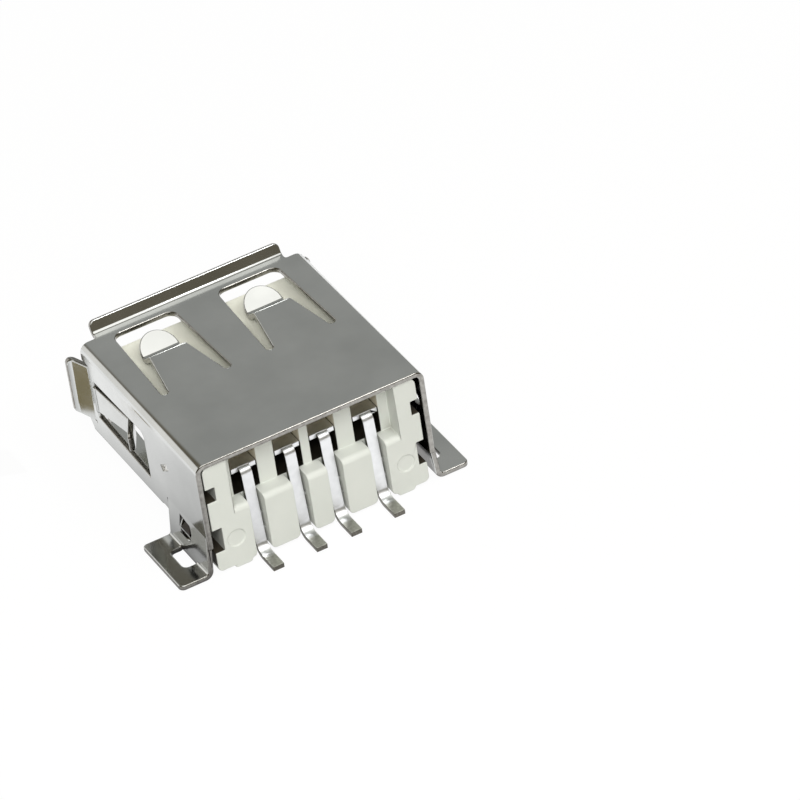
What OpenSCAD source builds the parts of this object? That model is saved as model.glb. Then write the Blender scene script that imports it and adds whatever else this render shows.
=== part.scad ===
// Board-mounted USB-A socket: a folded steel shell, a moulded housing and four bent contacts.
// Z is up and the board is at z = 0. The mouth faces -Y and the feet reach back to +Y.
// Lengths called "from the rear" run forward from the rear edge of the shell.

/* [Shell] */
// Width of the folded shell, outside
shell_w = 13.1; // [12.9:0.05:13.3]
// Height of the folded shell, outside
shell_h = 5.78; // [5.7:0.02:5.86]
// Thickness of the steel sheet
sheet = 0.3; // [0.26:0.02:0.32]
// Outside radius of the four long folds
fold_r = 0.52; // [0.48:0.02:0.6]
// Length of the tube, from the rear to the corners of the mouth
tube_len = 12.95; // [12.85:0.05:13.1]
// Height of the shell's floor above the board
stand = 1.3; // [1.26:0.02:1.36]
// Length at the rear that has no floor
open_len = 5.25; // [5.2:0.05:5.4]
// Width of the seam along the floor
seam = 0.12; // [0.08:0.01:0.16]
// Distance of the seam from the middle
seam_x = 0.15; // [0:0.05:0.3]

/* [Mouth lips] */
// Distance of the ends of the roof's and floor's lips from the outside of the walls
lip_inset = 1; // [0.9:0.05:1.2]
// Start of the bend of these lips ahead of the mouth's corners
lip_ahead = 0.25; // [0.2:0.05:0.45]
// Angle of these lips to the roof
lip_angle = 63; // [50:1:70]
// Straight part of these lips
lip_run = 0.56; // [0.52:0.02:0.64]
// Radius of the corners of all lips
lip_corner = 0.34; // [0.2:0.02:0.4]
// Inside radius of these lips' bends
lip_r = 0.2; // [0.15:0.05:0.3]
// Height of the side lips
side_lip_h = 3.5; // [3.3:0.05:3.6]
// Rise of the side lips' middle over the wall's middle
side_lip_up = 0.1; // [0:0.02:0.12]
// Start of the side lips' first bend behind the mouth's corners
side_lip_back = 0.65; // [0.6:0.05:0.75]
// Angle of the side lips' flat part to the wall
side_lip_angle = 20; // [17:1:22]
// Length of the side lips' flat part
side_lip_run = 1.05; // [0.95:0.05:1.15]
// Angle to the wall that the side lips' curled ends reach
side_curl_angle = 85; // [78:1:88]
// Inside radius of the side lips' bends
side_lip_r = 0.24; // [0.2:0.02:0.26]
// Reach of the side lips beyond the walls
side_lip_out = 0.6; // [0.59:0.01:0.64]
// Relief cut above and below each side lip
lip_relief = 0.08; // [0.06:0.01:0.1]
// Reach of the walls' pointed corners under the side lips, ahead of the mouth's corners
ear_reach = 0.5; // [0.4:0.05:0.55]
// Inside radius of the small bends in fingers and tabs
bend_r = 0.2; // [0.15:0.05:0.3]

/* [Spring fingers in the roof and floor] */
// Distance of each finger from the middle of the shell
finger_x = 3.03; // [2.97:0.02:3.09]
// Front edge of the windows behind the mouth's corners
window_back = 0.37; // [0.27:0.02:0.45]
// Width of the windows at the front
window_front_w = 3.5; // [3.4:0.05:3.6]
// Width of the windows at the fingers' roots
window_rear_w = 4; // [3.9:0.05:4.1]
// Radius of the windows' front corners
window_r = 0.5; // [0.35:0.05:0.6]
// Width of the slots beside the roots
slot_w = 0.4; // [0.34:0.02:0.46]
// Roots of the fingers, from the rear
finger_root = 6.62; // [6.5:0.02:6.8]
// First bend of the fingers, from the rear
finger_bend = 9.73; // [9.65:0.02:9.8]
// Valley of the fingers, from the rear
finger_valley = 10.56; // [10.5:0.02:10.64]
// Depth of the valley
finger_dip = 0.64; // [0.56:0.02:0.68]
// Angle at which the tips rise again
tip_rise = 27; // [22:1:30]
// Ends of the fingers, from the rear
finger_end = 11.78; // [11.7:0.02:11.9]
// Width of the fingers at their round tips
finger_tip_w = 2.14; // [2.04:0.02:2.2]
// Inside radius of the fingers' bends
finger_r = 0.22; // [0.16:0.02:0.26]

/* [Spring fingers in the sides] */
// Front end of the side windows behind the mouth's corners
side_back = 1.05; // [0.95:0.05:1.15]
// Rear end of the side windows, from the rear
side_rear = 6.21; // [6.1:0.05:6.35]
// Height of the side windows at the front
side_front_h = 2.28; // [2.2:0.04:2.4]
// Upper edge of the side windows at the rear, above the middle of the wall
side_rear_up = 1.3; // [1.24:0.02:1.36]
// Lower edge of the side windows at the rear, below the middle of the wall
side_rear_down = 1.5; // [1.4:0.02:1.56]
// Radius of the windows' upper rear corners
side_r = 0.4; // [0.3:0.05:0.5]
// Height of the side fingers at their roots
side_root_h = 1.6; // [1.5:0.05:1.7]
// Height of the side fingers at their tips
side_tip_h = 1.14; // [1.04:0.02:1.24]
// Crest of the side fingers, from the rear
side_crest = 8.72; // [8.6:0.04:8.8]
// Reach of the crest into the mouth
side_dip = 0.3; // [0.24:0.02:0.36]
// Angle at which the tips flare out
side_flare = 28; // [22:1:32]
// Length of the flared tips
side_tip_run = 1.5; // [1.4:0.05:1.6]

/* [Legs and wings] */
// Front edge of the legs and wings, from the rear
leg_front = 4.4; // [4.35:0.05:4.5]
// Outward lean of the legs
leg_splay = 5; // [3:1:7]
// Width over both soldering wings
wing_span = 16.75; // [16.5:0.05:17]
// Rear edge of the wings, from the rear
wing_rear = 0.1; // [0.05:0.05:0.2]
// Radius of the wings' rear corners
wing_rear_r = 0.3; // [0.2:0.05:0.4]
// Radius of the wings' front corners
wing_front_r = 0.25; // [0.15:0.05:0.35]
// Inside radius of the bend between leg and wing
wing_bend_r = 0.18; // [0.14:0.02:0.22]
// Front end of the wing slots, from the rear
wing_slot_front = 3.05; // [2.9:0.05:3.2]
// Rear end of the wing slots, from the rear
wing_slot_rear = 1.4; // [1.3:0.05:1.5]
// Distance of the slots' outer ends from the outside of the walls
wing_slot_out = 0.93; // [0.85:0.02:1.01]
// Distance of the slots' inner ends from the outside of the walls
wing_slot_in = 0.2; // [0.16:0.02:0.26]

/* [Lanced tabs] */
// Root of the long lance in the -X wall, from the rear
lance_root = 4.5; // [4.35:0.05:4.6]
// Free end of the long lance, from the rear
lance_end = 1.25; // [1.2:0.05:1.4]
// Width of the long lance
lance_h = 0.82; // [0.7:0.02:0.84]
// Height of the long lance above the board
lance_z = 4.96; // [4.94:0.01:4.98]
// Reach of the long lance into the housing's channel
lance_in = 0.15; // [0.1:0.01:0.2]
// Front edge of the leg tabs, from the rear
tab_front = 3.05; // [2.95:0.05:3.15]
// Rear edge of the leg tabs, from the rear
tab_rear = 1.95; // [1.85:0.05:2.05]
// Height of the leg tabs' roots above the board
tab_z = 1.44; // [1.4:0.01:1.48]
// Height of the openings that the tabs leave
tab_h = 0.82; // [0.72:0.02:0.86]
// Inward lean of the leg tabs
tab_angle = 25; // [18:1:28]
// Middle of the nick in the +X wall, from the rear
nick_y = 4.05; // [3.8:0.05:4.2]
// Height of the nick above the board
nick_z = 4.64; // [4.5:0.02:4.7]
// Length of the nick
nick_len = 0.9; // [0.7:0.02:1]
// Upward lean of the nick toward the rear
nick_lean = 32; // [25:1:40]
// Radius of the nick's round floor
nick_r = 0.2; // [0.16:0.02:0.24]
// Depth of the nick
nick_deep = 0.14; // [0.1:0.02:0.16]

/* [Housing] */
// Gap between the housing's block and the walls of the shell
block_gap = 0.1; // [0.06:0.01:0.2]
// Front face of the block, from the rear
block_front = 4.6; // [4.55:0.05:4.8]
// Rear faces of the towers, from the rear
block_rear = 0.11; // [0.08:0.01:0.2]
// Depth of the recess behind the contacts' legs
recess = 1; // [0.97:0.01:1.06]
// Height of the ledge under the recess
ledge_z = 3.6; // [3.5:0.02:3.7]
// Radius of the ledge's edge
ledge_r = 0.3; // [0.2:0.02:0.34]
// Thickness of the block's front wall
front_wall = 1; // [0.9:0.05:1.05]
// Distance of the towers' inner faces from the middle
tower_x = 4.8; // [4.74:0.02:4.86]
// Height of the block's underside above the board
block_z = 0.18; // [0.14:0.02:0.24]
// Radius of the block's upper edges
block_r = 0.42; // [0.36:0.02:0.5]
// Radius of the block's and webs' lower corners
groove_corner_r = 0.28; // [0.2:0.02:0.32]
// Width of the grooves for the contacts' legs
groove_w = 0.86; // [0.8:0.02:0.92]
// Depth of the side channels
channel_d = 0.53; // [0.46:0.01:0.58]
// Bottom and top of the upper side channels
upper_channel = [4.52, 5.4];
// Bottom and top of the lower side channels
lower_channel = [1.35, 2.8];
// Diameter of the ejector marks on the towers
mark_d = 1; // [0.9:0.02:1.1]
// Depth of the ejector marks
mark_deep = 0.08; // [0.06:0.01:0.1]
// Height of the ejector marks
mark_z = 1.82; // [1.76:0.02:1.9]
// Distance of the ejector marks from the middle
mark_x = 4.9; // [4.86:0.02:5]

/* [Tongue] */
// Gap between the tongue and the walls of the shell
tongue_side_gap = 0.7; // [0.64:0.02:0.8]
// Thickness of the tongue
tongue_h = 1.84; // [1.8:0.02:1.88]
// Gap between the tongue and the roof
tongue_gap = 0.72; // [0.7:0.02:0.76]
// Front end of the tongue ahead of the mouth's corners
tongue_ahead = 0.15; // [0:0.05:0.2]
// Radius of the tongue's front corners
tongue_r = 0.5; // [0.4:0.05:0.6]
// Length of the bevel on the tongue's upper front edge
bevel_len = 0.35; // [0.25:0.05:0.4]
// Height of that bevel
bevel_h = 0.8; // [0.7:0.02:0.9]
// Bevel of the tongue's lower front edge
under_bevel = 0.25; // [0.15:0.05:0.35]
// Width of the contact channels under the tongue
tongue_slot_w = 1.2; // [1.14:0.02:1.3]
// Room over the contacts in those channels
tongue_slot_room = 0.1; // [0.06:0.02:0.16]
// Front end of the contact channels, from the rear
tongue_slot_front = 12.4; // [12.3:0.05:12.5]

/* [Contacts] */
// Pitch of the two middle contacts
inner_pitch = 2; // [1.98:0.01:2.02]
// Pitch of each outer contact to its neighbour
outer_pitch = 2.5; // [2.48:0.01:2.52]
// Thickness of the contact strip
strip = 0.28; // [0.24:0.01:0.3]
// Width of the spring beams
beam_w = 1; // [0.94:0.02:1.04]
// Width of the shoulder plates
plate_w = 1.4; // [1.34:0.02:1.44]
// Width of the slots for the shoulder plates
plate_slot_w = 1.5; // [1.46:0.01:1.56]
// Height of the shoulder plates' upper faces above the board
plate_z = 5.15; // [5.11:0.01:5.18]
// Rear edge of the shoulder plates, from the rear
plate_rear = 1.14; // [1.12:0.01:1.2]
// Width of the legs and feet
leg_w = 0.62; // [0.58:0.02:0.66]
// Rear faces of the legs below the upper bend, from the rear
leg_rear = 0.8; // [0.78:0.01:0.84]
// Backward lean of the legs
leg_lean = 5.4; // [4.4:0.2:6]
// Inside radius of the upper bends
upper_r = 0.15; // [0.12:0.01:0.18]
// Inside radius of the lower bends
lower_r = 0.6; // [0.5:0.02:0.66]
// Reach of the feet behind the shell
foot_reach = 1.32; // [1.2:0.02:1.5]
// Heights of the barbs on the legs
barb_z = [1.3, 2.2];
// Height of a barb
barb_h = 0.34; // [0.28:0.02:0.4]
// Straight part of the beams behind the tongue's root
beam_straight = 1.4; // [1.2:0.1:1.6]
// Downward slope of the beams
beam_slope = 11; // [10:0.5:12]
// Length of the sloping part
beam_run = 4.6; // [4.4:0.1:4.8]
// Upward slope of the beams' ends
beam_rise = 30; // [26:1:32]
// Length of the beams' ends
beam_end = 0.75; // [0.65:0.05:0.85]
// Inside radius of the contact crest
crest_r = 0.4; // [0.3:0.05:0.5]

/* [Hidden] */
$fn = 48;

steel = [0.66, 0.66, 0.65];
moulding = [0.86, 0.87, 0.83];
tinned = [0.84, 0.84, 0.83];

// Overlap that joins two pieces of one sheet, and the clear travel of a cut
lap = 0.3;
cut = 0.5;

// Lengths and widths that follow the shell
lip_w = shell_w - 2 * lip_inset;
lip_start = tube_len + lip_ahead;
side_lip_start = tube_len - side_lip_back;
window_front = tube_len - window_back;
side_front = tube_len - side_back;
wing_slot_x = shell_w / 2 + wing_slot_out;
block_w = shell_w - 2 * (sheet + block_gap);
tongue_w = shell_w - 2 * (sheet + tongue_side_gap);
tongue_front = tube_len + tongue_ahead;

roof_z = stand + shell_h;
mid_z = stand + shell_h / 2;
wall_x = shell_w / 2;
inner_top = roof_z - sheet;
fold_in = fold_r - sheet;

// Reach of the mouth's lips, and the shift that puts the whole part's middle on the origin
roof_lip_reach = lip_start + (lip_r + sheet) * sin(lip_angle) + lip_run * cos(lip_angle);
side_lip_reach = side_lip_start + side_lip_run * cos(side_lip_angle) + side_lip_r + sheet;
mouth_reach = max(roof_lip_reach, side_lip_reach);
rear_y = (mouth_reach - foot_reach) / 2;

// Outer end and middle height of a side lip
side_lip_x = wall_x + side_lip_out;
side_lip_z = mid_z + side_lip_up;

// Spring fingers of the roof
finger_slope = atan(finger_dip / (finger_valley - finger_bend));
finger_incline = norm([finger_valley - finger_bend, finger_dip]);
bend_tangent = (finger_r + sheet) * tan(finger_slope / 2);
valley_tangent = finger_r * tan((finger_slope + tip_rise) / 2);
root_half = window_rear_w / 2 - slot_w;
tip_half = finger_tip_w / 2;
tip_centre = finger_end - tip_half;

// Spring fingers of the sides
side_lean = atan(side_dip / (side_front - side_crest));
side_incline = norm([side_front - side_crest, side_dip]);
crest_turn = side_lean + side_flare;

// Legs: path of the sheet's inner face from the wall to the underside of the wing
leg_top = tab_z + tab_h + 2 * lap;
leg_straight = lap;
splay_z = leg_top - leg_straight;
leg_fillet = open_len - leg_front;
wing_outer_r = wing_bend_r + sheet;
splay_run = (splay_z - wing_outer_r) / cos(leg_splay);
wing_from = wall_x - sheet + splay_run * sin(leg_splay) + wing_outer_r;

// Contacts
contact_x = [inner_pitch / 2 + outer_pitch, inner_pitch / 2, -inner_pitch / 2, -inner_pitch / 2 - outer_pitch];
leg_turn = 90 - leg_lean;
recess_y = block_rear + recess;
slot_end = block_front - front_wall;
upper_drop = (upper_r + strip) * (1 - cos(leg_turn));
lower_rise = strip + lower_r * (1 - sin(leg_lean));
leg_run = (plate_z - upper_drop - lower_rise) / cos(leg_lean);
foot_from = -leg_rear + leg_run * sin(leg_lean) + lower_r * cos(leg_lean);

// Tongue
tongue_top = inner_top - tongue_gap;
tongue_low = tongue_top - tongue_h;
tongue_slot_top = plate_z + tongue_slot_room;

// Places a piece that is drawn from the shell's rear edge
module placed() {
    translate([0, rear_y, 0]) children();
}

module both_sides() {
    children();
    mirror([1, 0, 0]) children();
}

module roof_and_floor() {
    children();
    translate([0, 0, 2 * mid_z]) mirror([0, 0, 1]) children();
}

module each_finger() {
    for (side = [-1, 1]) translate([side * finger_x, 0, 0]) children();
}

// The half of the plane ahead of the Y axis, wide enough for a bend of radius r
module ahead(r) {
    translate([0, -2 * r]) square([2 * r, 4 * r]);
}

// Outline of a bent strip, drawn along +X with its faces at y = 0 and y = thick.
// Each step is a straight run, a turn after it (left is positive) and that turn's inside radius.
module bent_outline(steps, thick, i = 0) {
    run = steps[i][0];
    turn = steps[i][1];
    r = steps[i][2];
    pivot = turn < 0 ? -r : thick + r;
    square([run, thick]);
    if (turn != 0) translate([run, pivot]) {
        difference() {
            circle(r + thick);
            circle(r);
            mirror([1, 0]) ahead(r + thick);
            rotate(turn) ahead(r + thick);
        }
        if (i + 1 < len(steps)) rotate(turn) translate([0, -pivot]) bent_outline(steps, thick, i + 1);
    }
}

module folded(steps, thick, wide) {
    linear_extrude(wide) bent_outline(steps, thick);
}

// Directions in which strips are laid: their run, then the way they turn
module forward_up() {
    rotate([90, 0, -90]) children();
}

module forward_out() {
    rotate(-90) children();
}

module back_in() {
    rotate(90) children();
}

module back_up() {
    rotate([90, 0, 90]) children();
}

module down_out() {
    rotate([90, 90, 0]) children();
}

module up_in() {
    rotate([90, -90, 0]) children();
}

// Extrudes an outline that is drawn in Y and Z, along X
module side_profile(from, to) {
    translate([from, 0, 0]) back_up() linear_extrude(to - from) children();
}

// Extrudes an outline that is drawn in X and Z, forward from a distance behind the mouth
module rear_profile(from, to) {
    translate([0, -from, 0]) rotate([90, 0, 0]) linear_extrude(to - from) children();
}

// Shell

// The sheet's way round the tube, from one side of the seam to the other
module tube() {
    seam_from = seam_x + seam / 2;
    seam_to = seam_x - seam / 2;
    flat = wall_x - fold_r;
    side = shell_h - 2 * fold_r;
    steps = [
        [flat - seam_from, 90, fold_in],
        [side, 90, fold_in],
        [2 * flat, 90, fold_in],
        [side, 90, fold_in],
        [flat + seam_to, 0, 0]
    ];
    difference() {
        translate([seam_from, 0, stand]) rotate([90, 0, 0]) folded(steps, sheet, tube_len);
        translate([-wall_x - cut, -open_len, stand - cut])
            cube([shell_w + 2 * cut, open_len + cut, fold_r + cut]);
        both_sides() side_lip_gap();
    }
    both_sides() side_profile(wall_x - sheet, wall_x) ear_outline();
}

module side_lip_gap() {
    gap_h = side_lip_h + 2 * lip_relief;
    translate([wall_x - fold_r, -tube_len - cut, side_lip_z - gap_h / 2])
        cube([2 * fold_r, tube_len + cut - side_lip_start, gap_h]);
}

// The wall's lower front corner, which points forward under the side lip
module ear_outline() {
    low = stand + fold_r;
    high = side_lip_z - side_lip_h / 2 - lip_relief;
    polygon([[lap - tube_len, low], [lap - tube_len, high], [-tube_len - ear_reach, high], [-tube_len, low]]);
}

// A rectangle with two round corners at its top or at its bottom
module top_rounded(left, right, low, high, r) {
    translate([left, low]) square([right - left, high - low - r]);
    translate([left + r, low]) square([right - left - 2 * r, high - low]);
    for (x = [left + r, right - r]) translate([x, high - r]) circle(r);
}

module bottom_rounded(left, right, low, high, r) {
    mirror([0, 1]) top_rounded(left, right, -high, -low, r);
}

module roof_lip() {
    from = tube_len - lap;
    half = lip_w / 2;
    intersection() {
        translate([half + cut, -from, inner_top]) forward_up()
            folded([[lip_start - from, lip_angle, lip_r], [lip_run + cut, 0, 0]], sheet, lip_w + 2 * cut);
        translate([0, -lip_start, roof_z + lip_r]) rotate([-lip_angle, 0, 0])
            linear_extrude(shell_h, center = true) bottom_rounded(-half, half, -lip_run, shell_h, lip_corner);
    }
}

// The side lip leans out from the wall and ends in a curl
module side_lip() {
    low = side_lip_z - side_lip_h / 2;
    steps = [
        [lap, side_lip_angle, side_lip_r],
        [side_lip_run, side_curl_angle - side_lip_angle, side_lip_r],
        [side_lip_out, 0, 0]
    ];
    intersection() {
        translate([wall_x - sheet, lap - side_lip_start, low - cut]) forward_out()
            folded(steps, sheet, side_lip_h + 2 * cut);
        rear_profile(0, side_lip_reach + cut) rotate(-90)
            top_rounded(-low - side_lip_h, -low, 0, side_lip_x, lip_corner);
    }
}

// Half the width of a roof window at a distance from the rear
function window_half(d) = window_rear_w / 2
    + (window_front_w - window_rear_w) / 2 * (d - finger_root) / (window_front - finger_root);

module window_outline() {
    corner = window_front - window_r;
    half = window_half(corner);
    slot_x = (window_rear_w - slot_w) / 2;
    polygon([
        [-window_rear_w / 2, -finger_root],
        [window_rear_w / 2, -finger_root],
        [half, -corner],
        [half - window_r, -window_front],
        [window_r - half, -window_front],
        [-half, -corner]
    ]);
    for (side = [-1, 1]) {
        translate([side * (half - window_r), -corner]) circle(window_r);
        translate([side * slot_x, -finger_root]) circle(slot_w / 2);
    }
}

module window_cut() {
    translate([0, 0, inner_top - cut]) linear_extrude(sheet + 2 * cut) window_outline();
}

module finger_outline() {
    polygon([
        [-root_half, lap - finger_root],
        [root_half, lap - finger_root],
        [root_half, -finger_root],
        [tip_half, -finger_bend],
        [tip_half, -tip_centre],
        [-tip_half, -tip_centre],
        [-tip_half, -finger_bend],
        [-root_half, -finger_root]
    ]);
    translate([0, -tip_centre]) circle(tip_half);
}

// The finger runs flat, dips into the mouth and ends in a round tip that rises again
module roof_finger() {
    from = finger_root - lap;
    wide = 2 * (root_half + lap);
    steps = [
        [finger_bend - from - bend_tangent, -finger_slope, finger_r],
        [finger_incline - bend_tangent - valley_tangent, finger_slope + tip_rise, finger_r],
        [(finger_end - finger_valley) / cos(tip_rise) + lap, 0, 0]
    ];
    intersection() {
        translate([0, 0, inner_top - 2 * finger_dip]) linear_extrude(4 * finger_dip) finger_outline();
        translate([wide / 2, -from, inner_top]) forward_up() folded(steps, sheet, wide);
    }
}

module side_window_outline() {
    front_half = side_front_h / 2;
    polygon([
        [-side_front, mid_z - front_half],
        [-side_front, mid_z + front_half],
        [-side_rear - side_r, mid_z + side_rear_up],
        [-side_rear, mid_z + side_rear_up - side_r],
        [-side_rear, mid_z - side_rear_down]
    ]);
    translate([-side_rear - side_r, mid_z + side_rear_up - side_r]) circle(side_r);
}

module side_finger_outline() {
    root_half_h = side_root_h / 2;
    tip_half_h = side_tip_h / 2;
    round = tip_half_h / 2;
    tip = side_crest - side_tip_run * cos(side_flare);
    polygon([
        [-side_front - lap, mid_z - root_half_h],
        [-side_front - lap, mid_z + root_half_h],
        [-side_front, mid_z + root_half_h],
        [-side_crest, mid_z + tip_half_h],
        [-tip - round, mid_z + tip_half_h],
        [-tip, mid_z + round],
        [-tip, mid_z - round],
        [-tip - round, mid_z - tip_half_h],
        [-side_crest, mid_z - tip_half_h],
        [-side_front, mid_z - root_half_h]
    ]);
    for (side = [-1, 1]) translate([-tip - round, mid_z + side * (tip_half_h - round)]) circle(round);
}

// The side finger leans into the mouth up to its crest and flares out behind it
module side_finger() {
    root_tangent = (bend_r + sheet) * tan(side_lean / 2);
    crest_tangent = bend_r * tan(crest_turn / 2);
    steps = [
        [lap - root_tangent, side_lean, bend_r],
        [side_incline - root_tangent - crest_tangent, -crest_turn, bend_r],
        [side_tip_run + lap, 0, 0]
    ];
    intersection() {
        side_profile(wall_x - sheet - cut, wall_x + cut) side_finger_outline();
        translate([wall_x, -side_front - lap, mid_z - side_root_h]) back_in()
            folded(steps, sheet, 2 * side_root_h);
    }
}

module lance_slot() {
    translate([wall_x - sheet - cut, -lance_root, lance_z - lance_h / 2])
        cube([sheet + 2 * cut, lance_root - lance_end + lance_h / 2, lance_h]);
    translate([wall_x - sheet - cut, lance_h / 2 - lance_end, lance_z]) rotate([0, 90, 0])
        cylinder(d = lance_h, h = sheet + 2 * cut);
}

module lance() {
    lean = atan(lance_in / (lance_root - lance_end));
    translate([wall_x, -lance_root - lap, lance_z - lance_h / 2]) back_in()
        folded([[lap, lean, bend_r], [lance_root - lance_end, 0, 0]], sheet, lance_h);
}

// A short round-floored nick pressed into the wall
module nick() {
    translate([wall_x + nick_r - nick_deep, -nick_y, nick_z]) rotate([nick_lean - 90, 0, 0])
        cylinder(r = nick_r, h = nick_len, center = true);
}

// Places a piece on the outer face of a leg, with its X outward and its Z up the leg from the bend
module on_leg() {
    translate([wall_x, 0, splay_z]) rotate([0, -leg_splay, 0]) children();
}

module tab_slot() {
    on_leg() translate([-sheet - cut, -tab_front, tab_z - splay_z])
        cube([sheet + 2 * cut, tab_front - tab_rear, tab_h]);
}

module tab() {
    on_leg() translate([0, -tab_rear, tab_z - splay_z - sheet / 2]) up_in()
        folded([[sheet / 2, tab_angle, bend_r], [tab_h / 2, 0, 0]], sheet, tab_front - tab_rear);
}

// The wall's lower edge sweeps down into the leg
module leg_outline() {
    sweep_z = stand + fold_r / 4;
    difference() {
        translate([-open_len, 0]) square([open_len, leg_top]);
        translate([-open_len - cut, -cut]) square([leg_fillet + cut, sweep_z - leg_fillet + cut]);
        translate([-open_len, sweep_z - leg_fillet]) circle(leg_fillet);
    }
}

module wing_outline() {
    tip = wing_span / 2;
    rear_corner = wing_rear + wing_rear_r;
    translate([wall_x - fold_r, -open_len]) square([wing_from - wall_x - sheet, open_len]);
    difference() {
        translate([wall_x - fold_r, -leg_front]) square([tip - wall_x + fold_r, leg_front - wing_rear]);
        translate([tip - wing_rear_r, -rear_corner]) square(wing_rear_r + cut);
        translate([tip - wing_front_r, -leg_front - cut]) square(wing_front_r + cut);
    }
    translate([tip - wing_rear_r, -rear_corner]) circle(wing_rear_r);
    translate([tip - wing_front_r, wing_front_r - leg_front]) circle(wing_front_r);
}

module leg() {
    steps = [
        [leg_straight, leg_splay, wing_bend_r],
        [splay_run, 90 - leg_splay, wing_bend_r],
        [wing_span / 2 - wing_from, 0, 0]
    ];
    intersection() {
        translate([wall_x - sheet, 0, leg_top]) down_out() folded(steps, sheet, open_len);
        side_profile(wall_x - fold_r, wing_span / 2 + cut) leg_outline();
        translate([0, 0, -cut]) linear_extrude(leg_top + 2 * cut) wing_outline();
    }
}

module wing_slot() {
    corner = sheet;
    from = wall_x + wing_slot_in;
    high = wing_outer_r + cut;
    translate([from, -wing_slot_front, -cut])
        cube([wing_slot_x - corner - from, wing_slot_front - wing_slot_rear, high]);
    translate([from, corner - wing_slot_front, -cut])
        cube([wing_slot_x - from, wing_slot_front - wing_slot_rear - 2 * corner, high]);
    for (d = [wing_slot_front - corner, wing_slot_rear + corner])
        translate([wing_slot_x - corner, -d, -cut]) cylinder(r = corner, h = high);
}

module shell() {
    color(steel) placed() {
        difference() {
            union() {
                tube();
                roof_and_floor() roof_lip();
                both_sides() leg();
            }
            roof_and_floor() each_finger() window_cut();
            both_sides() {
                side_profile(wall_x - sheet - cut, wall_x + cut) side_window_outline();
                tab_slot();
                wing_slot();
            }
            mirror([1, 0, 0]) lance_slot();
            nick();
            translate([seam_x - seam / 2, -roof_lip_reach - cut, 0]) cube([seam, roof_lip_reach, stand + sheet]);
        }
        roof_and_floor() each_finger() roof_finger();
        both_sides() {
            side_finger();
            side_lip();
            tab();
        }
        mirror([1, 0, 0]) lance();
    }
}

// Housing

// Outline of the block behind the recess
module block_outline() {
    half = block_w / 2;
    top_rounded(-half, half, ledge_z, inner_top, block_r);
    bottom_rounded(-half, half, block_z, ledge_z, groove_corner_r);
}

// Outline of a tower, with its lower part beside the outer groove and its pad on the board
module tower_outline() {
    outer = block_w / 2;
    groove_side = contact_x[0] + groove_w / 2;
    pad_in = groove_side + groove_corner_r;
    pad_out = tower_x + groove_w / 2;
    difference() {
        union() {
            top_rounded(tower_x - block_r, outer, ledge_z - block_r, inner_top, block_r);
            translate([tower_x - block_r, ledge_z]) square([2 * block_r, inner_top - ledge_z]);
            bottom_rounded(groove_side, outer, block_z, ledge_z, groove_corner_r);
        }
        translate([tower_x - 1, ledge_z]) square([1, inner_top]);
    }
    bottom_rounded(pad_in, pad_out, 0, ledge_z, block_z);
}

// The blocks between the grooves, from one groove's side to the next one's
module web_outline(i) {
    bottom_rounded(contact_x[i + 1] + groove_w / 2, contact_x[i] - groove_w / 2, block_z, ledge_z,
        groove_corner_r);
}

module channel(span) {
    deep = cut + (shell_w - block_w) / 2;
    translate([block_w / 2 - channel_d, -slot_end, span[0]]) cube([channel_d + deep, slot_end, span[1] - span[0]]);
}

// Rounds the rear edge of the ledge between the towers
module ledge_round() {
    translate([-tower_x, -block_rear - ledge_r, ledge_z - ledge_r]) difference() {
        cube([2 * tower_x, ledge_r + cut, ledge_r + cut]);
        rotate([0, 90, 0]) cylinder(r = ledge_r, h = 2 * tower_x);
    }
}

module ejector_mark() {
    translate([mark_x, mark_deep - block_rear, mark_z]) rotate([90, 0, 0]) cylinder(d = mark_d, h = 2 * mark_deep);
}

module tongue_outline() {
    half = tongue_w / 2;
    corner = tongue_front - tongue_r;
    translate([-half, -corner]) square([tongue_w, corner - block_front + lap]);
    translate([tongue_r - half, -tongue_front]) square([tongue_w - 2 * tongue_r, tongue_r]);
    for (x = [tongue_r - half, half - tongue_r]) translate([x, -corner]) circle(tongue_r);
}

module tongue_side() {
    polygon([
        [lap - block_front, tongue_low],
        [under_bevel - tongue_front, tongue_low],
        [-tongue_front, tongue_low + under_bevel],
        [-tongue_front, tongue_top - bevel_h],
        [bevel_len - tongue_front, tongue_top],
        [lap - block_front, tongue_top]
    ]);
}

module tongue() {
    intersection() {
        translate([0, 0, tongue_low - cut]) linear_extrude(tongue_h + 2 * cut) tongue_outline();
        side_profile(-tongue_w, tongue_w) tongue_side();
    }
}

// Room for one contact: plate slot in the block, slit through its front and channel in the tongue
module contact_room(x) {
    translate([x - plate_slot_w / 2, -slot_end, ledge_z])
        cube([plate_slot_w, slot_end - recess_y + cut, inner_top - ledge_z + cut]);
    translate([x - tongue_slot_w / 2, -block_front - lap, plate_z - strip])
        cube([tongue_slot_w, block_front - slot_end + 2 * lap, strip]);
    translate([x - tongue_slot_w / 2, -tongue_slot_front, tongue_low - cut])
        cube([tongue_slot_w, tongue_slot_front - block_front, tongue_slot_top - tongue_low + cut]);
}

module housing() {
    color(moulding) placed() difference() {
        union() {
            rear_profile(recess_y, block_front) block_outline();
            rear_profile(block_rear, recess_y + lap) {
                both_sides() tower_outline();
                for (i = [0:2]) web_outline(i);
            }
            tongue();
        }
        for (x = contact_x) contact_room(x);
        both_sides() {
            channel(upper_channel);
            channel(lower_channel);
            ejector_mark();
        }
        ledge_round();
    }
}

// Contacts

// Teeth on both edges of a leg that hold it in its groove
module barbs(z) {
    low = z - barb_h / 2;
    rear = leg_rear - (plate_z - upper_drop - z) * tan(leg_lean);
    both_sides() rear_profile(rear + strip / 4, rear + strip * 3 / 4) polygon([
        [0, low],
        [leg_w / 2, low],
        [groove_w / 2, low + barb_h * 2 / 3],
        [groove_w / 2, low + barb_h],
        [0, low + barb_h]
    ]);
}

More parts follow.
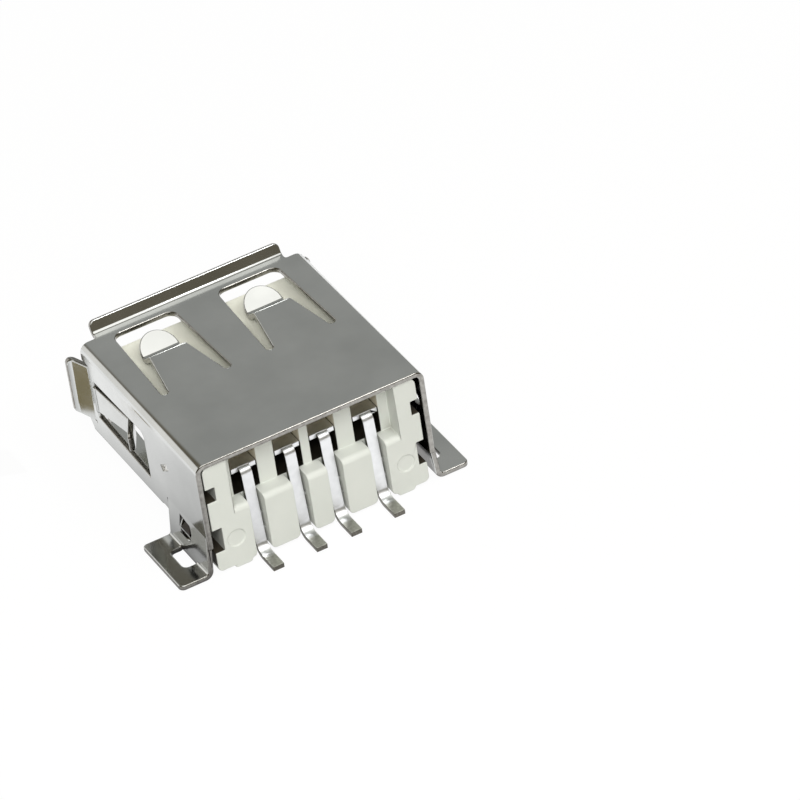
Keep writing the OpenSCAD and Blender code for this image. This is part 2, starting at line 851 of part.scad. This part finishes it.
module beam() {
    from = slot_end - lap;
    steps = [
        [block_front - from + beam_straight, -beam_slope, crest_r],
        [beam_run, beam_slope + beam_rise, crest_r],
        [beam_end, 0, 0]
    ];
    translate([beam_w / 2, -from, plate_z - strip]) forward_up() folded(steps, strip, beam_w);
}

module shoulder_plate() {
    translate([-plate_w / 2, lap / 2 - slot_end, plate_z - strip])
        cube([plate_w, slot_end - lap / 2 - plate_rear, strip]);
}

module contact_leg() {
    from = leg_rear + (upper_r + strip) * sin(leg_turn) + lap;
    steps = [
        [lap, -leg_turn, upper_r],
        [leg_run, leg_turn, lower_r],
        [foot_reach - foot_from, 0, 0]
    ];
    translate([-leg_w / 2, -from, plate_z - strip]) back_up() folded(steps, strip, leg_w);
}

module contact(x) {
    color(tinned) placed() translate([x, 0, 0]) {
        beam();
        shoulder_plate();
        contact_leg();
        for (z = barb_z) barbs(z);
    }
}

shell();
housing();
contact(contact_x[0]);  // contact_1
contact(contact_x[1]);  // contact_2
contact(contact_x[2]);  // contact_3
contact(contact_x[3]);  // contact_4
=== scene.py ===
"""Looks of the board socket: finished copies of its parts, with materials, light and camera."""
import itertools
import math

import bmesh
import bpy
from mathutils import Matrix, Vector


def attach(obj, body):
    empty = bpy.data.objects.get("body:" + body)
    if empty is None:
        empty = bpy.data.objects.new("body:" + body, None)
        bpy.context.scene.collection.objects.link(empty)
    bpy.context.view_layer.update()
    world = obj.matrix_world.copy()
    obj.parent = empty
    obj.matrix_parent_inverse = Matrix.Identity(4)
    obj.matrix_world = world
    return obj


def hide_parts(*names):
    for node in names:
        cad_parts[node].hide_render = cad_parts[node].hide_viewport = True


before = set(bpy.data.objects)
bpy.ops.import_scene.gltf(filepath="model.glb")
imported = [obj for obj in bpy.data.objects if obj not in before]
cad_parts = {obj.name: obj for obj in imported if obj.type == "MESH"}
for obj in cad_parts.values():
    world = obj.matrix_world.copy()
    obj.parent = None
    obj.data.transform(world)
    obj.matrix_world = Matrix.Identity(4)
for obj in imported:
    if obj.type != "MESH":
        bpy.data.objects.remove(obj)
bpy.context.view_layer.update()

MM = 0.001
BODY = "root"


# Camera

IMAGE_PX = 800
FOCAL_PX = 6742.6
SENSOR_MM = 36
NEAREST_MM, FARTHEST_MM = 10, 10000
CAMERA_MM = (103.532, 254.909, 209.752)
# Azimuth, elevation and roll in degrees
CAMERA_TURN = (156.409, 36.923, -8.8185)


def add_camera():
    """The photograph's view: from behind, above and the side, through a long lens."""
    azimuth, elevation, roll = (math.radians(a) for a in CAMERA_TURN)
    back = Vector((
        math.sin(azimuth) * math.cos(elevation),
        -math.cos(azimuth) * math.cos(elevation),
        math.sin(elevation),
    ))
    level = Vector((0, 0, 1)).cross(back).normalized()
    right = Matrix.Rotation(roll, 3, back) @ level
    up = back.cross(right)
    place = Matrix((right, up, back)).transposed().to_4x4()
    place.translation = Vector(CAMERA_MM) * MM
    lens = bpy.data.cameras.new("camera")
    lens.sensor_width = SENSOR_MM
    lens.lens = FOCAL_PX / IMAGE_PX * SENSOR_MM
    lens.clip_start = NEAREST_MM * MM
    lens.clip_end = FARTHEST_MM * MM
    camera = bpy.data.objects.new("camera", lens)
    camera.matrix_world = place
    bpy.context.scene.collection.objects.link(camera)
    bpy.context.scene.camera = camera


# Materials

# Face attribute: 1 on the faces that a punch has cut, 0 on the rolled faces of the strip
CUT = "cut_face"
# The two noise values between which a shade or a roughness changes
NOISE_LOW, NOISE_HIGH = 0.3, 0.7
# Rays with which a material feels how deep a place lies
DEPTH_RAYS = 8
# Sockets of the Mix node for colours: share, first and second colour, and the result
MIX_INPUTS, MIX_RESULT = (0, 6, 7), 2

# Places on the pieces in mm. A range along X holds on both sides of the middle.
SIDE_WALLS = {"x": (6.15, 9)}
# Painted highlight: the small nick in the +X wall turns near white
WALL_NICK = {"x": (6.3, 6.5), "y": (1.7, 2.8), "z": (4.15, 5.1), "soft_mm": 0.03}
# Painted shade: the shell's leg tabs turn near black
LEG_TABS = {"x": (5, 7), "y": (3.3, 4.28), "z": (1.54, 2.2), "soft_mm": 0.04}
# Painted light: the plastic seen through the shell's windows is paler
TONGUE = {"y": (-9, 1.6)}
# Painted shade: the channels down the housing's sides are near black
SIDE_CHANNELS = {"x": (5.65, 7), "y": (2.6, 6.08), "z": (0.55, 7)}
# Contact slots: painted shade below the plates, a browner tone above them
CONTACT_SLOTS = {"y": (2.6, 5.12), "z": (3.55, 7)}
ABOVE_PLATES = {"z": (5.2, 9), "soft_mm": 0.2}
# Painted shade: the contacts' feet are darker
CONTACT_FEET = {"y": (6.75, 9), "soft_mm": 0.25}


class Nodes:
    """The nodes of a material or of the world."""

    def __init__(self, owner):
        owner.use_nodes = True
        self.tree = owner.node_tree

    def named(self, name):
        return self.tree.nodes[name]

    def add(self, kind, **values):
        node = self.tree.nodes.new(kind)
        for key, value in values.items():
            setattr(node, key, value)
        return node

    def feed(self, socket, value):
        """Links an output to a socket, or sets a plain value on it."""
        if isinstance(value, bpy.types.NodeSocket):
            self.tree.links.new(value, socket)
        else:
            socket.default_value = value

    def calculate(self, operation, *values):
        node = self.add("ShaderNodeMath", operation=operation)
        for socket, value in zip(node.inputs, values):
            self.feed(socket, value)
        return node.outputs["Value"]

    def ramp(self, value, start, end, low=0, high=1, easing="LINEAR"):
        """A number that goes from low to high while value goes from start to end."""
        node = self.add("ShaderNodeMapRange", interpolation_type=easing)
        self.feed(node.inputs["Value"], value)
        ends = {"From Min": start, "From Max": end, "To Min": low, "To Max": high}
        for name, at_end in ends.items():
            self.feed(node.inputs[name], at_end)
        return node.outputs["Result"]

    def mix_shaders(self, share, without, with_it):
        node = self.add("ShaderNodeMixShader")
        for socket, value in zip(node.inputs, (share, without, with_it)):
            self.feed(socket, value)
        return node.outputs["Shader"]


class Finish(Nodes):
    """A piece's material: one Principled shader, fed by noise on Object coordinates."""

    def __init__(self, name, **constants):
        self.material = bpy.data.materials.new(name)
        super().__init__(self.material)
        self.shader = self.named("Principled BSDF")
        self.place = self.add("ShaderNodeTexCoord").outputs["Object"]
        for key, value in constants.items():
            self.shader.inputs[key.replace("_", " ")].default_value = value

    def noise(self, size_mm, detail=3, stretch=(1, 1, 1)):
        """Noise in patches of about size_mm, drawn out along an axis where stretch is above 1."""
        mapping = self.add("ShaderNodeMapping")
        mapping.inputs["Scale"].default_value = [1 / s for s in stretch]
        self.feed(mapping.inputs["Vector"], self.place)
        node = self.add("ShaderNodeTexNoise")
        node.inputs["Scale"].default_value = 1 / (size_mm * MM)
        node.inputs["Detail"].default_value = detail
        self.feed(node.inputs["Vector"], mapping.outputs["Vector"])
        return node.outputs["Fac"]

    def shade(self, noise, dark, light):
        """Colour that drifts between two shades."""
        node = self.add("ShaderNodeValToRGB")
        ends = zip(node.color_ramp.elements, (NOISE_LOW, NOISE_HIGH), (dark, light))
        for element, position, colour in ends:
            element.position = position
            element.color = (*colour, 1)
        self.feed(node.inputs["Fac"], noise)
        return node.outputs["Color"]

    def mixed(self, share, without, with_it):
        """The colour without, and where share is 1 the colour with_it."""
        node = self.add("ShaderNodeMix", data_type="RGBA")
        for number, value in zip(MIX_INPUTS, (share, without, with_it)):
            self.feed(node.inputs[number], value)
        return node.outputs[MIX_RESULT]

    def open_share(self, reach_mm, closed, opened, own_only):
        """0 deep in recesses, 1 on open faces. With own_only, other pieces close nothing off."""
        node = self.add("ShaderNodeAmbientOcclusion", samples=DEPTH_RAYS, only_local=own_only)
        node.inputs["Distance"].default_value = reach_mm * MM
        return self.ramp(node.outputs["AO"], closed, opened)

    def cut_faces(self):
        return self.add("ShaderNodeAttribute", attribute_name=CUT).outputs["Fac"]

    def within(self, x=(), y=(), z=(), soft_mm=0.05):
        """1 inside a box in mm and its mirror image in X, fading to 0 over soft_mm outside it."""
        split = self.add("ShaderNodeSeparateXYZ")
        self.feed(split.inputs["Vector"], self.place)
        sideways = self.calculate("ABSOLUTE", split.outputs["X"])
        share = None
        for value, limits in ((sideways, x), (split.outputs["Y"], y), (split.outputs["Z"], z)):
            for limit, outward in zip(limits, (-1, 1)):
                fade = self.ramp(value, (limit + outward * soft_mm) * MM, limit * MM)
                share = fade if share is None else self.calculate("MULTIPLY", share, fade)
        return share

    def colour(self, output):
        self.feed(self.shader.inputs["Base Color"], output)

    def roughen(self, noise, low, high, spot=None, at_spot=None):
        """Roughness by noise, and where spot is 1 the roughness at_spot."""
        roughness = self.ramp(noise, NOISE_LOW, NOISE_HIGH, low, high)
        if spot is not None:
            roughness = self.ramp(spot, 0, 1, roughness, at_spot)
        self.feed(self.shader.inputs["Roughness"], roughness)

    def bump(self, noise, depth_mm, strength):
        node = self.add("ShaderNodeBump")
        node.inputs["Strength"].default_value = strength
        node.inputs["Distance"].default_value = depth_mm * MM
        self.feed(node.inputs["Height"], noise)
        self.feed(self.shader.inputs["Normal"], node.outputs["Normal"])


def satin_nickel():
    """Plated sheet: cloudy satin, duller where cut. Painted shade in wall gaps and tabs, painted
    highlight on the nick.
    """
    finish = Finish("satin_nickel", Metallic=1)
    sheet = finish.shade(finish.noise(3.2), dark=(0.575, 0.585, 0.577), light=(0.66, 0.67, 0.66))
    edge = finish.shade(finish.noise(0.25), dark=(0.25, 0.24, 0.225), light=(0.4, 0.39, 0.365))
    painted_shade = finish.shade(finish.noise(1), dark=(0.02, 0.017, 0.013), light=(0.03, 0.026, 0.02))
    # Painted highlight on the nick
    nick_painted_highlight = finish.shade(finish.noise(0.25), dark=(0.93, 0.93, 0.92), light=(0.97, 0.97, 0.96))
    plated = finish.mixed(finish.cut_faces(), sheet, edge)
    nick = finish.within(**WALL_NICK)
    # Painted shade: the side walls go near black in their gaps and deep places, and on the leg tabs
    in_the_open = finish.open_share(reach_mm=1.5, closed=0.2, opened=0.6, own_only=False)
    walls = finish.mixed(finish.within(**LEG_TABS), plated, painted_shade)
    walls = finish.mixed(in_the_open, painted_shade, walls)
    walls = finish.mixed(nick, walls, nick_painted_highlight)
    finish.colour(finish.mixed(finish.within(**SIDE_WALLS), plated, walls))
    finish.roughen(finish.noise(0.9, detail=4), low=0.12, high=0.17, spot=nick, at_spot=0.6)
    finish.bump(finish.noise(0.9, detail=2, stretch=(1, 3, 1)), depth_mm=0.003, strength=0.1)
    return finish.material


def moulded_plastic():
    """Pale insulator: faintly clouded, fine matte skin. Painted shade in recesses, slots and
    channels, painted light where it shows through the shell's windows.
    """
    finish = Finish("moulded_plastic", IOR=1.5, Specular_IOR_Level=0.4)
    skin = finish.shade(finish.noise(2.4), dark=(0.73, 0.755, 0.7), light=(0.77, 0.79, 0.735))
    # Painted light: paler where the plastic shows through the windows
    tongue_painted_light = finish.shade(finish.noise(2.4), dark=(0.9, 0.9, 0.79), light=(0.94, 0.94, 0.83))
    # Painted shade: dark brown in the deep places of the moulding
    recess_painted_shade = finish.shade(finish.noise(1.2), dark=(0.2, 0.18, 0.135), light=(0.26, 0.235, 0.18))
    # Painted shade in the side channels
    channel_painted_shade = finish.shade(finish.noise(1.2), dark=(0.035, 0.029, 0.02), light=(0.05, 0.042, 0.03))
    over = finish.shade(finish.noise(1.2), dark=(0.78, 0.72, 0.57), light=(0.86, 0.8, 0.64))
    # Painted shade: near black below the contact plates
    below_plates_painted_shade = finish.shade(finish.noise(1.2), dark=(0.012, 0.01, 0.007), light=(0.02, 0.017, 0.012))
    slot = finish.mixed(finish.within(**ABOVE_PLATES), below_plates_painted_shade, over)
    in_the_open = finish.open_share(reach_mm=1, closed=0.05, opened=0.5, own_only=True)
    moulding = finish.mixed(finish.within(**TONGUE), skin, tongue_painted_light)
    moulding = finish.mixed(in_the_open, recess_painted_shade, moulding)
    moulding = finish.mixed(finish.within(**SIDE_CHANNELS), moulding, channel_painted_shade)
    finish.colour(finish.mixed(finish.within(**CONTACT_SLOTS), moulding, slot))
    finish.roughen(finish.noise(0.3), low=0.42, high=0.55)
    finish.bump(finish.noise(0.06), depth_mm=0.003, strength=0.2)
    return finish.material


def matte_tin():
    """Tinned strip: bright and soft with a fine grain, painted shade on the feet, bare on the cut
    sides.
    """
    finish = Finish("matte_tin", Metallic=1)
    bright = finish.shade(
        finish.noise(0.35, detail=4), dark=(0.79, 0.8, 0.81), light=(0.86, 0.87, 0.88)
    )
    # Painted shade: darker tin on the feet
    feet_painted_shade = finish.shade(finish.noise(0.15), dark=(0.36, 0.36, 0.32), light=(0.5, 0.5, 0.46))
    bare = finish.shade(finish.noise(0.1), dark=(0.1, 0.095, 0.08), light=(0.2, 0.19, 0.165))
    tinned = finish.mixed(finish.within(**CONTACT_FEET), bright, feet_painted_shade)
    finish.colour(finish.mixed(finish.cut_faces(), tinned, bare))
    finish.roughen(finish.noise(0.12), low=0.28, high=0.4)
    finish.bump(finish.noise(0.04, stretch=(1, 1, 4)), depth_mm=0.002, strength=0.3)
    return finish.material


# Pieces

SHELL_ROUNDING_MM, HOUSING_ROUNDING_MM, CONTACT_ROUNDING_MM = 0.08, 0.045, 0.022
ROUNDING_STEPS = 3
CONTACTS = range(1, 5)
SAME_POINT_MM = 1e-4
SAME_PLANE = math.radians(0.3)
SHARP = math.radians(35)
NARROW = math.radians(40)
SMOOTH = math.radians(45)
# The part of a face's normal along an axis, above which the face looks that way
FACING = 0.9
# A face wider than this is shaded flat
WIDE_MM = 0.2
# The sheet is 0.3 mm thick, and a cut face is about as wide
THINNEST_CUT_MM, THICKEST_CUT_MM = 0.2, 0.34
NICK_CENTRE_MM, NICK_REACH_MM = (6.5, 2.24, 4.64), 0.62
FOOT_END_MM = 7.55
# The housing's side beyond this X stands further from the -X wall, by the slack
SIDE_AT_MM = -5.65
HOUSING_SLACK_MM = 0.1


def is_sharp(edge):
    return len(edge.link_faces) == 2 and edge.calc_face_angle(0) > SHARP


def in_nick(edge):
    """Whether an edge is on the small nick pressed into the +X wall, which stays crisp."""
    middle = (edge.verts[0].co + edge.verts[1].co) / 2
    return (middle - Vector(NICK_CENTRE_MM) * MM).length < NICK_REACH_MM * MM


def edges_to_round(bm):
    """The sharp edges, without those that meet at a narrow point, where rounding overshoots."""
    sharp = {e for e in bm.edges if is_sharp(e)}
    narrow = {e for e in sharp if in_nick(e)}
    for corner in bm.verts:
        here = [(e, e.other_vert(corner).co - corner.co) for e in corner.link_edges if e in sharp]
        for (one, along_one), (other, along_other) in itertools.combinations(here, 2):
            if along_one.angle(along_other) < NARROW:
                narrow |= {one, other}
    return [e for e in bm.edges if e in sharp and e not in narrow]


def cut_through_sheet(face):
    """Whether a face is a strip as wide as the sheet is thick, between two sharp edges."""
    rim = sum(e.calc_length() for e in face.edges if is_sharp(e))
    return rim > 0 and THINNEST_CUT_MM * MM < 2 * face.calc_area() / rim < THICKEST_CUT_MM * MM


def cut_from_strip(face):
    """Whether a face is a contact's stamped side or the end of its foot."""
    at_end = face.calc_center_median().y > FOOT_END_MM * MM
    return abs(face.normal.x) > FACING or (at_end and face.normal.y > FACING)


def keep_flat(mesh):
    """Gives a wide face its own normal at every corner, and a narrow one its wide neighbour's."""
    wide = set()
    joined = {}
    for face in mesh.polygons:
        ring = [mesh.vertices[v].co for v in face.vertices]
        around = sum((one - other).length for one, other in zip(ring, ring[1:] + ring[:1]))
        if 2 * face.area / around > WIDE_MM * MM:
            wide.add(face.index)
            for v in face.vertices:
                joined.setdefault(v, []).append(face.normal.copy())
    # A corner left at zero keeps the normal that smooth shading gives it
    normals = [(0, 0, 0)] * len(mesh.loops)
    for face in mesh.polygons:
        for loop, v in zip(face.loop_indices, face.vertices):
            if face.index in wide:
                normals[loop] = face.normal.copy()
            elif v in joined:
                nearest = max(joined[v], key=face.normal.dot)
                if face.normal.angle(nearest) < SMOOTH:
                    normals[loop] = nearest
    mesh.normals_split_custom_set(normals)


def to_object(bm, name, material):
    """Ends a bmesh as an object in the scene."""
    mesh = bpy.data.meshes.new(name)
    bm.to_mesh(mesh)
    bm.free()
    mesh.materials.append(material)
    made = bpy.data.objects.new(name, mesh)
    bpy.context.scene.collection.objects.link(made)
    return made


def finished_copy(node, name, rounding_mm, material, is_cut=None, slack_mm=0):
    """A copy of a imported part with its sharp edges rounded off, which stands for that part."""
    bm = bmesh.new()
    bm.from_mesh(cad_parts[node].data)
    bmesh.ops.remove_doubles(bm, verts=bm.verts, dist=SAME_POINT_MM * MM)
    bmesh.ops.dissolve_limit(bm, angle_limit=SAME_PLANE, verts=bm.verts, edges=bm.edges)
    for corner in bm.verts:
        if corner.co.x < SIDE_AT_MM * MM:
            corner.co.x += slack_mm * MM
    if is_cut:
        layer = bm.faces.layers.float.new(CUT)
        for face in bm.faces:
            face[layer] = float(is_cut(face))
    bmesh.ops.bevel(
        bm, geom=edges_to_round(bm), offset=rounding_mm * MM, offset_type="OFFSET",
        affect="EDGES", segments=ROUNDING_STEPS, profile=0.5, material=-1,
        clamp_overlap=False, loop_slide=False, miter_outer="ARC",
    )
    piece = to_object(bm, name, material)
    piece.data.shade_smooth()
    piece.data.set_sharp_from_angle(angle=SMOOTH)
    keep_flat(piece.data)
    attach(piece, BODY)
    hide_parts(node)


# Studio

WHITE = (1, 1, 1, 1)
FLOOR_MM = [(-90, -70), (90, -70), (90, 90), (-90, 90)]
FLOOR_Z_MM = -0.02
# A dark card beside the mouth: painted shadow on the floor, which only the metal shows
SIDE_CARD_MM = [(10.2, -10), (15, -12.3), (15, -9.7), (10.2, -7.6)]
SIDE_CARD_BROWN = (0.29, 0.25, 0.145, 1)
MATTE = 0.9
PAPER_GREY = (0.5, 0.5, 0.5, 1)
PAPER_GLOSS = 0.1
# The paper's even white for the camera and in the metal, and its share. The rest has the shadow.
PAPER_WHITE, EVEN_SHARE = 1.06, 0.9
# How bright the metal shows the paper, a painted shadow and light: dimmer round the +X leg,
# brighter away from it, and dimmer next to the +X wall
LEG_MM, LEG_REACH_MM = (7.2, 3.5, 0), 13.6
BRIGHT_AT_LEG, BRIGHT_AWAY = 0.53, 1.22
WALL_MM, WALL_REACH_MM = 6.6, 1.5
SHARE_AT_WALL = 0.6

ROOM_BROWN = (0.15, 0.135, 0.1)
# The room's strength as light on matte faces. The metal shows it at 1.
ROOM_ON_MATTE = 0.85
# Each glow of the room: direction, cosines where it begins and is full, and the light that it adds
ROOM_GLOWS = [
    ((-0.1, 0.42, 0.9), 0.78, 0.86, (1.35, 1.35, 1.33)),
    ((-0.45, -0.75, 0.5), 0.7, 0.93, (0.23, 0.25, 0.27)),
    ((0.68, -0.7, 0.2), 0.86, 0.92, (0.85, 0.85, 0.85)),
]
# Each lamp: name, place in mm, side in mm, watts, and whether it shows in the metal
LAMPS = [
    ("rear_light", (80, 130, 165), 90, 0.19, False),
    ("low_light", (45, 150, 45), 70, 0.05, False),
    ("edge_light", (-74, 115, 184), 45, 0.064, True),
]


def white_paper():
    """White for the camera, with a trace of the shadow. In the metal it has a painted shadow by the
    +X leg and wall.
    """
    material = bpy.data.materials.new("white_paper")
    nodes = Nodes(material)
    paper = nodes.named("Principled BSDF")
    paper.inputs["Base Color"].default_value = PAPER_GREY
    paper.inputs["Roughness"].default_value = MATTE
    paper.inputs["Specular IOR Level"].default_value = PAPER_GLOSS
    place = nodes.add("ShaderNodeTexCoord").outputs["Object"]
    away = nodes.add("ShaderNodeVectorMath", operation="DISTANCE")
    nodes.feed(away.inputs[0], place)
    nodes.feed(away.inputs[1], Vector(LEG_MM) * MM)
    # Painted shadow in the metal: dim round the +X leg, bright away from it
    painted_shadow_by_leg = nodes.ramp(
        away.outputs["Value"], 0, LEG_REACH_MM * MM, BRIGHT_AT_LEG, BRIGHT_AWAY
    )
    split = nodes.add("ShaderNodeSeparateXYZ")
    nodes.feed(split.inputs["Vector"], place)
    # Painted shadow in the metal: dim next to the +X wall
    sideways = nodes.calculate("SUBTRACT", split.outputs["X"], WALL_MM * MM)
    from_wall = nodes.calculate("ABSOLUTE", sideways)
    painted_shadow_by_wall = nodes.ramp(from_wall, 0, WALL_REACH_MM * MM, SHARE_AT_WALL)
    path = nodes.add("ShaderNodeLightPath")
    camera, glossy = path.outputs["Is Camera Ray"], path.outputs["Is Glossy Ray"]
    mirrored = nodes.calculate("MULTIPLY", nodes.calculate("MULTIPLY", painted_shadow_by_leg, painted_shadow_by_wall), glossy)
    white = nodes.add("ShaderNodeEmission")
    strength = nodes.calculate("MULTIPLY_ADD", camera, PAPER_WHITE, mirrored)
    nodes.feed(white.inputs["Strength"], strength)
    seen = nodes.calculate("MAXIMUM", camera, glossy)
    even = nodes.calculate("MULTIPLY", seen, EVEN_SHARE)
    surface = nodes.mix_shaders(even, paper.outputs["BSDF"], white.outputs["Emission"])
    nodes.feed(nodes.named("Material Output").inputs["Surface"], surface)
    return material


# Painted shade: the card's dark brown stands in for shadowed floor
def shadow_card():
    material = bpy.data.materials.new("shadow_card")
    card = Nodes(material).named("Principled BSDF")
    card.inputs["Base Color"].default_value = SIDE_CARD_BROWN
    card.inputs["Roughness"].default_value = MATTE
    return material


def add_sheet(name, corners_mm, z_mm, material):
    """A flat sheet that lies on the floor or is the floor, with its corners in turn."""
    bm = bmesh.new()
    bm.faces.new([bm.verts.new(Vector((x, y, z_mm)) * MM) for x, y in corners_mm])
    sheet = to_object(bm, name, material)
    return sheet


def add_floor():
    """White paper, and on it a dark card beside the mouth, a painted shadow which shows only in the
    metal.
    """
    add_sheet("floor", FLOOR_MM, FLOOR_Z_MM, white_paper())
    card = add_sheet("side_shadow_card", SIDE_CARD_MM, 0, shadow_card())
    card.visible_camera = False
    card.visible_shadow = False


def add_world():
    """White for the camera. The light is a dim brown room with three glows."""
    world = bpy.data.worlds.new("studio")
    bpy.context.scene.world = world
    nodes = Nodes(world)
    toward = nodes.add("ShaderNodeTexCoord").outputs["Generated"]
    light = ROOM_BROWN
    for direction, begin, full, colour in ROOM_GLOWS:
        along = nodes.add("ShaderNodeVectorMath", operation="DOT_PRODUCT")
        nodes.feed(along.inputs[0], toward)
        nodes.feed(along.inputs[1], Vector(direction).normalized())
        rise = nodes.ramp(along.outputs["Value"], begin, full, easing="SMOOTHSTEP")
        glow = nodes.add("ShaderNodeVectorMath", operation="MULTIPLY_ADD")
        for socket, value in zip(glow.inputs, (rise, colour, light)):
            nodes.feed(socket, value)
        light = glow.outputs["Vector"]
    path = nodes.add("ShaderNodeLightPath")
    room = nodes.named("Background")
    strength = nodes.ramp(path.outputs["Is Glossy Ray"], 0, 1, ROOM_ON_MATTE)
    nodes.feed(room.inputs["Color"], light)
    nodes.feed(room.inputs["Strength"], strength)
    white = nodes.add("ShaderNodeBackground")
    white.inputs["Color"].default_value = WHITE
    surface = nodes.mix_shaders(
        path.outputs["Is Camera Ray"], room.outputs["Background"], white.outputs["Background"]
    )
    nodes.feed(nodes.named("World Output").inputs["Surface"], surface)


def add_softbox(name, place_mm, size_mm, watts, in_metal):
    """A square lamp that faces the part. Without in_metal it lights the part but isn't mirrored."""
    light = bpy.data.lights.new(name, "AREA")
    light.shape = "RECTANGLE"
    light.size = light.size_y = size_mm * MM
    light.energy = watts
    box = bpy.data.objects.new(name, light)
    box.location = Vector(place_mm) * MM
    box.rotation_euler = (-box.location).to_track_quat("-Z", "Y").to_euler()
    box.visible_glossy = in_metal
    bpy.context.scene.collection.objects.link(box)


add_camera()
nickel = satin_nickel()
plastic = moulded_plastic()
tin = matte_tin()
finished_copy(
    "shell", "shell_sheet", SHELL_ROUNDING_MM, nickel, is_cut=cut_through_sheet
)
finished_copy(
    "housing", "housing_block", HOUSING_ROUNDING_MM, plastic,
    slack_mm=HOUSING_SLACK_MM,
)
for number in CONTACTS:
    finished_copy(
        f"contact_{number}", f"contact_strip_{number}", CONTACT_ROUNDING_MM, tin,
        is_cut=cut_from_strip,
    )
add_floor()
add_world()
for lamp in LAMPS:
    add_softbox(*lamp)

bpy.context.scene.view_settings.view_transform = "Standard"
